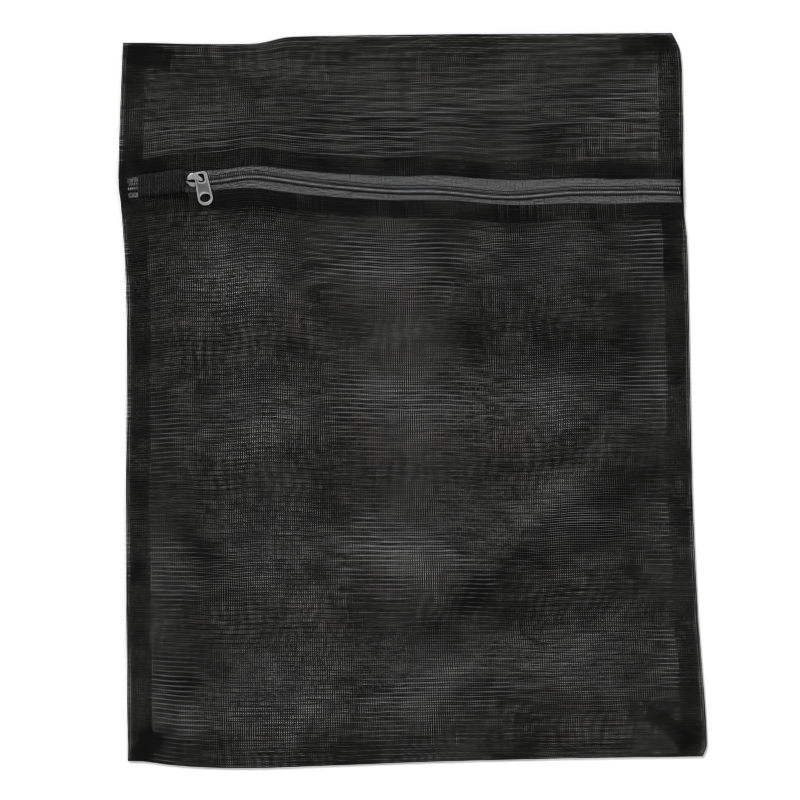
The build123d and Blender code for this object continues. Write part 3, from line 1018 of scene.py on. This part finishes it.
class BagFoldAllowances(bpy.types.Operator):
    """Lays the seam allowances inside both sides, with their ends turned over"""

    bl_idname = "laundry_bag.fold_allowances"
    bl_label = "Fold the seam allowances"

    def execute(self, context):
        sizes = context.scene.laundry_bag_sizes
        material = net_material("Net seam allowance", layers=2.0)
        for word, side in (("left", -1), ("right", 1)):
            outer = side * (HALF_WIDTH - sizes.allowance_start)
            low, high = sorted((outer, outer - side * sizes.allowance_width))
            reach = HALF_HEIGHT - MM
            bm = bmesh.new()
            layers = cloth_layers(bm)
            flat = sewn_grid(bm, low, high, -reach, reach, PATCH_STEP)
            cloth_patch(layers, flat, 0.0, 0.85 * MM)
            area = sizes.allowance_width * 2 * HALF_HEIGHT
            for end_side, inset, height, length_mm, width_mm, turn in FOLDED_ENDS:
                if end_side != side:
                    continue
                middle = side * (HALF_WIDTH - inset * MM)
                half_length, half_width = length_mm * MM / 2, width_mm * MM / 2
                end = sewn_grid(
                    bm, middle - half_length, middle + half_length,
                    height * MM - half_width, height * MM + half_width, PATCH_STEP,
                )
                cloth_patch(layers, end, math.radians(turn), 1.15 * MM)
                area += 4 * half_length * half_width
            area += cover_zip_end(bm, layers, side)
            piece = make_piece(
                f"{word}_allowance", bm, material, (f"{word}_seam_allowance",)
            )
        return {"FINISHED"}


# Zip

ZIP_SIDES = (("upper", True), ("lower", False))


def zip_level(x, height):
    """A height on the zip, lowered where its ends go down into the side seams."""
    return height - (FRONT_TOP - 0.2 * MM) + front_level(x, zip_line(x))


def weave_tape(name, upper, stands_for):
    """One side of the woven tape."""
    width = bpy.context.scene.laundry_bag_zip.tape_width
    inner = 0.5 * MM
    left = -HALF_WIDTH + 1.2 * MM
    right = HALF_WIDTH - 1.0 * MM
    bm = bmesh.new()
    sewn = bm.verts.layers.float_vector.new("sewn")
    for vert in sewn_grid(bm, left, right, inner, width, 1.5 * MM):
        vert.co.y *= 1 if upper else -1
    if not upper:
        bmesh.ops.reverse_faces(bm, faces=bm.faces)
    bmesh.ops.solidify(bm, geom=bm.faces, thickness=TAPE_TOP - TAPE_UNDER)
    top_of_mesh = max(vert.co.z for vert in bm.verts)
    for vert in bm.verts:
        x, off, z = vert.co
        vert[sewn] = (x, off, 0.0)
        _, lying_y = lie_on_zip(x, off)
        level = zip_level(x, TAPE_TOP + z - top_of_mesh)
        vert.co = (across_at(x, lying_y), lying_y, level)
    material = bpy.data.materials["Zip tape weave"]
    return make_piece(name, bm, material, (stands_for,))


class BagWeaveTapes(bpy.types.Operator):
    """Weaves the two sides of the zip's tape"""

    bl_idname = "laundry_bag.weave_tapes"
    bl_label = "Weave the tapes"

    def execute(self, context):
        tape_material()
        for word, upper in ZIP_SIDES:
            piece = weave_tape(f"{word}_tape", upper, f"{word}_zip_tape")
            part_the_mouth(piece)
        return {"FINISHED"}


def row_middle(x):
    """Distance from the zip's centre line to the middle of a row of coil."""
    zip_finish = bpy.context.scene.laundry_bag_zip
    shut = smooth((x - SLIDER_X + 2 * MM) / (8 * MM))
    held = smooth((hood_low.x + 6 * MM - x) / (6 * MM))
    return mix(zip_finish.open_middle, zip_finish.closed_middle, max(shut, held))


def wind_block(turns):
    """A few turns of nylon wire about X, round for now, as a mesh to repeat."""
    zip_finish = bpy.context.scene.laundry_bag_zip
    bm = bmesh.new()
    bmesh.ops.create_circle(
        bm, cap_ends=False, radius=zip_finish.wire, segments=5,
        matrix=Matrix.Translation((0, -COIL_UNIT, 0)),
    )
    bmesh.ops.spin(
        bm, geom=list(bm.verts) + list(bm.edges), cent=(0, 0, 0), axis=(1, 0, 0),
        dvec=(zip_finish.tooth_pitch / COIL_STEPS, 0, 0), angle=2 * math.pi * turns,
        steps=turns * COIL_STEPS, use_duplicate=False,
    )
    block = bpy.data.meshes.new("coil turns")
    bm.to_mesh(block)
    bm.free()
    return block


def wind_coil(name, upper, stands_for):
    """One row of the coil: a nylon wire wound in flat loops, half a turn off the other row."""
    zip_finish = bpy.context.scene.laundry_bag_zip
    side = 1 if upper else -1
    pitch = zip_finish.tooth_pitch
    block_turns = 14
    whole, rest = divmod(int((COIL_END - COIL_START) / pitch), block_turns)
    bm = bmesh.new()
    for turns, numbers in ((block_turns, range(whole)), (rest, range(whole, whole + (rest > 0)))):
        if not numbers:
            continue
        block = wind_block(turns)
        for number in numbers:
            before = len(bm.verts)
            bm.from_mesh(block)
            bm.verts.ensure_lookup_table()
            run = number * block_turns * pitch
            bmesh.ops.translate(bm, vec=(run, 0, 0), verts=bm.verts[before:])
        bpy.data.meshes.remove(block)
    bmesh.ops.remove_doubles(bm, verts=bm.verts, dist=0.01 * MM)
    open_ends = [edge for edge in bm.edges if edge.is_boundary]
    bmesh.ops.holes_fill(bm, edges=open_ends, sides=5)
    half = zip_finish.loop_width / 2 - zip_finish.wire
    tall = (COIL_TOP - TAPE_TOP) / 2 - zip_finish.wire
    shift = 0.5 * pitch if upper else 0.0
    # Painted highlight: a pale mark on each loop's top, on the side toward the light, fainter on
    # most of the upper row.
    painted_glint = bm.verts.layers.float.new("painted_glint")
    highlight_angle = 128.0 if upper else 86.0
    for vert in bm.verts:
        angle = math.atan2(vert.co.z, vert.co.y)
        outward = math.hypot(vert.co.y, vert.co.z) - COIL_UNIT
        x = COIL_START + shift + vert.co.x
        glinting = 0.65 if upper and x > hood_low.x else 0.95
        glinting *= smooth(0.5 + 0.9 * outward / zip_finish.wire)
        turned = abs(math.degrees(angle) - highlight_angle)
        vert[painted_glint] = max(1.3 - turned / 22.0, 0.0) * glinting
        off = side * row_middle(x) - side * (half + outward) * math.cos(angle)
        height = TAPE_TOP + tall + zip_finish.wire + (tall + outward) * math.sin(angle)
        vert.co = (*lie_on_zip(x, off), zip_level(x, height))
    bmesh.ops.recalc_face_normals(bm, faces=bm.faces)
    material = bpy.data.materials["Zip coil nylon"]
    return make_piece(name, bm, material, (stands_for,))


def lay_cord(name, upper, stands_for):
    """The filler cord inside one row of coil."""
    side = 1 if upper else -1
    bm = bmesh.new()
    for vert in tube_along(bm, COIL_START, COIL_END, 0.27 * MM, 8, 1.5 * MM):
        x, y, z = vert.co
        level = zip_level(x, (TAPE_TOP + COIL_TOP) / 2 + z)
        vert.co = (*lie_on_zip(x, side * row_middle(x) + y), level)
    return make_piece(name, bm, bpy.data.materials["Coil thread"], (stands_for,))


class BagWindCoils(bpy.types.Operator):
    """Winds the two rows of coil around their filler cords"""

    bl_idname = "laundry_bag.wind_coils"
    bl_label = "Wind the coils"

    def execute(self, context):
        coil_material()
        thread_material("Coil thread", context.scene.laundry_bag_zip.hidden_thread, 0.5 * MM)
        for word, upper in ZIP_SIDES:
            coil = wind_coil(f"{word}_coil", upper, f"{word}_zip_coil")
            part_the_mouth(coil)
            cord = lay_cord(f"{word}_cord", upper, f"{word}_coil_cord")
            part_the_mouth(cord)
        return {"FINISHED"}


# Stitching

STITCH_LENGTH = 2.3 * MM
THREAD_WIDTH = 0.42 * MM
HEM_STITCHES = 93
SEAM_STITCHES = 124
TACK_WRAPS = 4


def stitch_mesh():
    """One stitch to repeat: a small ball that each stitch stretches."""
    bm = bmesh.new()
    bmesh.ops.create_uvsphere(bm, u_segments=8, v_segments=5, radius=1.0)
    mesh = bpy.data.meshes.new("stitch")
    bm.to_mesh(mesh)
    bm.free()
    return mesh


def sew_stitch(bm, place, turn, length_over, width, height):
    """One stitch: a short fat thread with rounded ends."""
    size = Matrix.Diagonal((length_over / 2, width / 2, height / 2, 1.0))
    spot = Matrix.Translation(place) @ Matrix.Rotation(turn, 4, "Z") @ size
    before = len(bm.verts)
    bm.from_mesh(once(bpy.data.meshes, "stitch", stitch_mesh))
    bm.verts.ensure_lookup_table()
    bmesh.ops.transform(bm, matrix=spot, verts=bm.verts[before:])


def front_surface(x, y):
    """A lying point on the front's cloth, with its height."""
    place = lie(x, y)
    return Vector((*place, front_height(x, y, place)[0]))


def sew_line(name, count, start, end, stands_for):
    """A line of lockstitch on the front's cloth, between two sewn points."""
    reach = 0.3 / count
    bm = bmesh.new()
    for index in range(count):
        middle = (index + 0.5) / count
        spots = []
        for share in (middle - reach, middle + reach):
            x, y = (mix(a, b, share) for a, b in zip(start, end))
            spots.append(front_surface(x, y))
        run = spots[1] - spots[0]
        place = (spots[0] + spots[1]) / 2
        place.z += 0.12 * MM
        sew_stitch(bm, place, math.atan2(run.y, run.x), STITCH_LENGTH, THREAD_WIDTH, 0.26 * MM)
    return make_piece(name, bm, bpy.data.materials["Sewing thread"], (stands_for,))


def sew_coil(name, upper, stands_for):
    """The stitches that hold a row of coil on its tape: one over every second turn."""
    side = 1 if upper else -1
    pitch = 2 * bpy.context.scene.laundry_bag_zip.tooth_pitch
    bm = bmesh.new()
    for index in range(int((COIL_END - COIL_START) / pitch)):
        x = COIL_START + (index + 0.5) * pitch
        off = side * (row_middle(x) + 0.55 * MM)
        turn = math.atan2(chain_line(x + MM) - chain_line(x - MM), 2 * MM)
        place = Vector((*lie_on_zip(x, off), zip_level(x, COIL_TOP)))
        sew_stitch(bm, place, turn, pitch * 0.82, 0.3 * MM, 0.22 * MM)
    return make_piece(name, bm, bpy.data.materials["Coil thread"], (stands_for,))


def wrap_tack(name, side, stands_for):
    """The tack that holds one end of the zip: threads wrapped across the coil."""
    low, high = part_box(stands_for)
    bm = bmesh.new()
    for index in range(TACK_WRAPS):
        x = (COIL_START if side < 0 else COIL_END) + side * (index + 0.2) * 0.3 * MM
        place = Vector((*lie_on_zip(x, 0.0), zip_level(x, COIL_TOP - 0.25 * MM)))
        lean = math.radians(86 if index % 2 else 94)
        sew_stitch(bm, place, lean, high.y - low.y, THREAD_WIDTH, 1.3 * MM)
    return make_piece(name, bm, bpy.data.materials["Coil thread"], (stands_for,))


class BagSewStitches(bpy.types.Operator):
    """Sews the coils to the tapes, the hems, the side seams and the zip's ends"""

    bl_idname = "laundry_bag.sew_stitches"
    bl_label = "Sew the stitches"

    def execute(self, context):
        sizes = context.scene.laundry_bag_sizes
        thread_material("Sewing thread", context.scene.laundry_bag_zip.thread, 0.4 * MM)
        for word, upper in ZIP_SIDES:
            coil = sew_coil(f"{word}_coil_stitches", upper, f"{word}_coil_thread")
            part_the_mouth(coil)
            off = (sizes.mouth + 2.2 * MM) * (1 if upper else -1)
            reach = HALF_WIDTH - 10 * MM
            start, end = ((x, zip_line(x) + off) for x in (-reach, reach))
            hem = sew_line(
                f"{word}_hem_stitches", HEM_STITCHES, start, end, f"{word}_hem_stitching"
            )
            part_the_mouth(hem)
        for word, side in (("left", -1), ("right", 1)):
            x = side * (HALF_WIDTH - sizes.allowance_start - 2.0 * MM)
            reach = HALF_HEIGHT - 6 * MM
            sew_line(
                f"{word}_seam_stitches", SEAM_STITCHES, (x, -reach), (x, reach),
                f"{word}_seam_stitching",
            )
            wrap_tack(f"{word}_tack", side, f"{word}_zip_tack")
        return {"FINISHED"}


# Elastic


class BagFitElastic(bpy.types.Operator):
    """Fits the ribbed elastic over the closed end of the zip"""

    bl_idname = "laundry_bag.fit_elastic"
    bl_label = "Fit the elastic"

    def execute(self, context):
        elastic_material()
        left = hood_low.x
        right = hood_high.x
        run = right - left
        half = 5.65 * MM
        rib_height = 0.09 * MM
        rib_pitch = context.scene.laundry_bag_zip.rib_pitch
        bm = bmesh.new()
        sewn = bm.verts.layers.float_vector.new("sewn")
        for vert in sewn_grid(bm, left, right, -half, half, 0.2 * MM):
            x = vert.co.x
            across = math.sin(vert.co.y / half * math.pi / 2)
            opened = smooth((x - left) / (run - 5 * MM))
            tall = mix(1.6 * MM, hood_high.z - TAPE_TOP, opened)
            bluntness = mix(2.6, 5.0, opened)
            arch = max(1 - abs(across) ** bluntness, 0.0) ** (1 / bluntness)
            rib = rib_height * math.cos(2 * math.pi * (x - left) / rib_pitch)
            vert[sewn] = (x - left, across * half, 0.0)
            middle = mix(chain_line(left), zip_line(right) - 0.3 * MM, (x - left) / run)
            level = zip_level(x, TAPE_TOP + 0.1 * MM + tall * arch + rib)
            vert.co = (x, middle + across * half, level)
        bmesh.ops.recalc_face_normals(bm, faces=bm.faces)
        bmesh.ops.solidify(bm, geom=bm.faces, thickness=-0.5 * MM)
        bmesh.ops.recalc_face_normals(bm, faces=bm.faces)
        webbing = bpy.data.materials["Elastic webbing"]
        piece = make_piece("elastic_hood", bm, webbing, ("elastic_garage",))
        return {"FINISHED"}


# Slider and pull tab

TAB_REST_TURN = math.radians(9.0)
TAB_LEAN = math.radians(4.0)
TAIL_HOLE_REACH = 9.7 * MM
TAIL_HOLE_ZONE = 2.75 * MM


def die_cast(node):
    """A copy of a metal node's mesh with its flat faces joined, ready for rounded edges."""
    bm = bmesh.new()
    bm.from_mesh(frame["nodes"][node].data)
    bmesh.ops.remove_doubles(bm, verts=bm.verts, dist=0.002 * MM)
    bmesh.ops.dissolve_limit(
        bm, angle_limit=math.radians(1.5), verts=bm.verts, edges=bm.edges,
        use_dissolve_boundaries=False,
    )
    return bm


def round_edges(bm, radius):
    """Rounds the sharp edges."""
    sharp = math.radians(35)
    edges = [edge for edge in bm.edges if edge.is_manifold and edge.calc_face_angle() > sharp]
    bmesh.ops.bevel(
        bm, geom=edges, offset=radius, offset_type="OFFSET", segments=2, profile=0.5,
        affect="EDGES", clamp_overlap=True, material=-1,
    )
    bmesh.ops.triangulate(bm, faces=[face for face in bm.faces if len(face.verts) > 4])


def place_along(point, middle, along, across):
    """A point's place in two directions from a middle."""
    spot = point - middle
    return spot.dot(along), spot.dot(across)


def shape_slider(bm, plate_top):
    """Gives the slider its pointed nose, and its crown a leaf shape that leans to the upper side."""
    along = Vector((ZIP_DIRECTION.x, ZIP_DIRECTION.y, 0.0)).normalized()
    across = Vector((-along.y, along.x, 0.0))
    middle = Vector((SLIDER_X, zip_line(SLIDER_X), 0.0))
    reach = (slider_high.x - slider_low.x) / 2
    lengths = [along * reach * (2 * (cut + 1) / 12 - 1) for cut in range(11)]
    widths = [across * off * MM for off in (-1.6, -1.2, 0.3, 0.9)]
    for way, cuts in ((along, lengths), (across, widths)):
        for cut in cuts:
            whole = list(bm.verts) + list(bm.edges) + list(bm.faces)
            bmesh.ops.bisect_plane(bm, geom=whole, plane_co=middle + cut, plane_no=way)
    shade = bm.verts.layers.float.new("shade")
    crown_from = plate_top + 0.12 * MM
    for vert in bm.verts:
        run, off = place_along(vert.co, middle, along, across)
        share = run / reach
        wide = 1.0
        if vert.co.z > crown_from:
            leaf = max(math.cos(math.pi / 2 * min(abs(share + 0.12), 1.0)), 0.0)
            wide += (3.2 if off > 0 else -1.3) * leaf
        # Painted shadow: points at the plate's level beside the crown's foot and toward the tab's
        # end are marked dark, where the crown and the tab's head shade them.
        elif -1.4 * MM < off < 0.6 * MM or share > 0.1:
            vert[shade] = 1.0
        nose = mix(0.4, 1.0, smooth((share + 1.0) / 0.8))
        vert.co += across * off * (wide * nose - 1)


def shape_tab(bm):
    """Makes the hole in the tab's tail a little wider than long, and turns the tab a little further
    about its swivel.
    """
    turn = math.atan(ZIP_SLOPE) + TAB_REST_TURN
    along = Vector((math.sin(turn), -math.cos(turn), 0.0))
    across = Vector((math.cos(turn), math.sin(turn), 0.0))
    middle = Vector((*SWIVEL.xy, 0.0)) + along * TAIL_HOLE_REACH
    for vert in bm.verts:
        run, off = place_along(vert.co, middle, along, across)
        if math.hypot(run, off) < TAIL_HOLE_ZONE:
            vert.co += across * off * 0.2 - along * run * 0.07
    lean = Matrix.Rotation(TAB_LEAN, 3, "Z")
    bmesh.ops.rotate(bm, cent=(*SWIVEL.xy, 0.0), matrix=lean, verts=bm.verts)


def mark_painted_highlight(bm, least, levels):
    """Marks how bright each point is painted, as a painted highlight: most on the rims of the faces
    at the given heights.
    """
    painted_highlight = bm.verts.layers.float.new("painted_highlight")
    for vert in bm.verts:
        depth = min(abs(vert.co.z - level) for level in levels)
        vert[painted_highlight] = max(1 - smooth(depth / (0.13 * MM)), least)


class BagCastSlider(bpy.types.Operator):
    """Casts the slider and the pull tab with rounded edges, and plates them"""

    bl_idname = "laundry_bag.cast_slider"
    bl_label = "Cast the slider"

    def execute(self, context):
        metal = metal_material()
        plate_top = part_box("pull_tab")[0].z - 0.2 * MM
        for name, node, body, radius, least in (
            ("cast_slider", "zip_slider", "slider", 0.12 * MM, 0.3),
            ("cast_pull_tab", "pull_tab", "pull", 0.14 * MM, 0.0),
        ):
            bm = die_cast(node)
            levels = [corner.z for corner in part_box(node)]
            if node == "zip_slider":
                shape_slider(bm, plate_top)
                levels.append(plate_top)
            else:
                shape_tab(bm)
            round_edges(bm, radius)
            mark_painted_highlight(bm, least, levels)
            piece = make_piece(name, bm, metal, (node,), body)
            piece.data.set_sharp_from_angle(angle=math.radians(40))
        return {"FINISHED"}


# Stage


def lay_floor(scene, pale):
    """The floor under the bag."""
    bm = bmesh.new()
    bmesh.ops.create_grid(bm, x_segments=1, y_segments=1, size=6.0)
    mesh = bpy.data.meshes.new("floor")
    bm.to_mesh(mesh)
    bm.free()
    material, tree, shader = new_material("Pale floor", 1.0, 0.0)
    cloud = soft_noise(tree, object_place(tree), 3.0)
    colour = blend_colours(tree, cloud, shade_of(pale, 0.99), shade_of(pale))
    feed(tree, colour, shader.inputs["Base Color"])
    mesh.materials.append(material)
    floor = bpy.data.objects.new("floor", mesh)
    scene.collection.objects.link(floor)


def light_room(scene, stage):
    """An even white room, darker overhead, with two soft lamps."""
    world = bpy.data.worlds.new("Soft white room")
    world.use_nodes = True
    sky = world.node_tree
    background = sky.nodes["Background"]
    background.inputs["Color"].default_value = (1.0, 1.0, 1.0, 1.0)
    direction = add_node(sky, "ShaderNodeTexCoord").outputs["Generated"]
    overhead = stage.sky * stage.overhead_share
    level = remap(sky, parts_of(sky, direction)["Z"], 0.1, 0.95, stage.sky, overhead)
    feed(sky, level, background.inputs["Strength"])
    scene.world = world
    for name, spot, spread, power in (
        ("key_light", (-1.3, 2.0, 1.9), 22.0, stage.key),
        ("fill_light", (1.6, -1.2, 2.2), 50.0, stage.key * stage.fill_share),
    ):
        data = bpy.data.lights.new(name, "SUN")
        data.angle = math.radians(spread)
        data.energy = power
        lamp = bpy.data.objects.new(name, data)
        lamp.location = spot
        lamp.rotation_euler = (-Vector(spot)).to_track_quat("-Z", "Y").to_euler()
        scene.collection.objects.link(lamp)


class BagSetStage(bpy.types.Operator):
    """Sets the floor, the light and the camera straight above the bag"""

    bl_idname = "laundry_bag.set_stage"
    bl_label = "Set the stage"

    def execute(self, context):
        scene = context.scene
        stage = scene.laundry_bag_stage
        lay_floor(scene, stage.floor)
        light_room(scene, stage)
        data = bpy.data.cameras.new("camera")
        data.lens = stage.lens
        data.sensor_width = 36.0
        data.dof.use_dof = False
        camera = bpy.data.objects.new("camera", data)
        camera.location = (-0.5 * MM, 0.3 * MM, stage.height)
        scene.collection.objects.link(camera)
        scene.camera = camera
        scene.view_settings.view_transform = "Standard"
        scene.cycles.filter_width = 0.85
        return {"FINISHED"}


class BagPanel(bpy.types.Panel):
    """Lists the steps and the sizes of the laundry bag"""

    bl_idname = "VIEW3D_PT_laundry_bag"
    bl_label = "Laundry bag"
    bl_space_type = "VIEW_3D"
    bl_region_type = "UI"
    bl_category = "Laundry bag"

    def draw(self, context):
        for step in STEPS:
            self.layout.operator(step.bl_idname)
        for name, _ in GROUPS:
            group = getattr(context.scene, name)
            for setting in group.__annotations__:
                self.layout.prop(group, setting)


STEPS = (
    BagSetStage, BagLayNets, BagWeaveTapes, BagTurnHems, BagFoldAllowances, BagWindCoils,
    BagSewStitches, BagFitElastic, BagCastSlider,
)
GROUPS = (
    ("laundry_bag_sizes", BagSizes), ("laundry_bag_net", NetFinish),
    ("laundry_bag_zip", ZipFinish), ("laundry_bag_stage", StageSettings),
)


def register():
    """Adds the settings, the steps and the panel."""
    for name, group in GROUPS:
        bpy.utils.register_class(group)
        setattr(bpy.types.Scene, name, bpy.props.PointerProperty(type=group))
    for step in STEPS:
        bpy.utils.register_class(step)
    bpy.utils.register_class(BagPanel)


def unregister():
    """Takes them away again."""
    bpy.utils.unregister_class(BagPanel)
    for step in reversed(STEPS):
        bpy.utils.unregister_class(step)
    for name, group in reversed(GROUPS):
        delattr(bpy.types.Scene, name)
        bpy.utils.unregister_class(group)


def main():
    """Makes the bag."""
    register()
    for step in STEPS:
        getattr(bpy.ops.laundry_bag, step.bl_idname.split(".")[1])()


if __name__ == "__main__":
    main()
